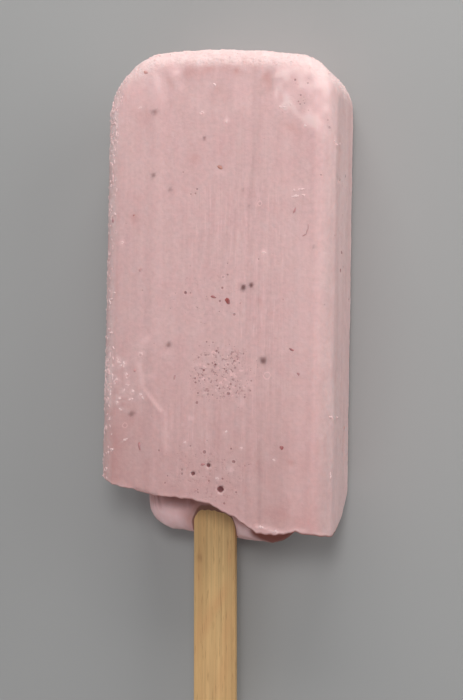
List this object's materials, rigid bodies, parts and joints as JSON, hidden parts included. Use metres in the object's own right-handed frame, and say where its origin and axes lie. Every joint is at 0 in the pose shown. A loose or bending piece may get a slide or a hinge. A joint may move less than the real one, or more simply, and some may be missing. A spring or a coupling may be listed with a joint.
{
  "type": "ice pop",
  "caption": "Frozen fruit and cream bar with a round tip and broken base, moulded on a flat wooden stick, lying on its back.",
  "frame": {"origin": "middle of the box round the whole pop, on the plane its flat back lies on", "axes": "+Y along the bar from the stick to the round tip, +Z out of the shown face, +X to the right across it"},
  "size_m": [0.055, 0.1606, 0.0244],
  "materials": {
    "ice_cream": "frozen pink fruit cream, frosty satin",
    "wood": "bare pale birch, fine straight grain"
  },
  "bodies": {
    "root": {"ice_cream": "ice_cream", "stick": "wood"}
  },
  "joints": []
}
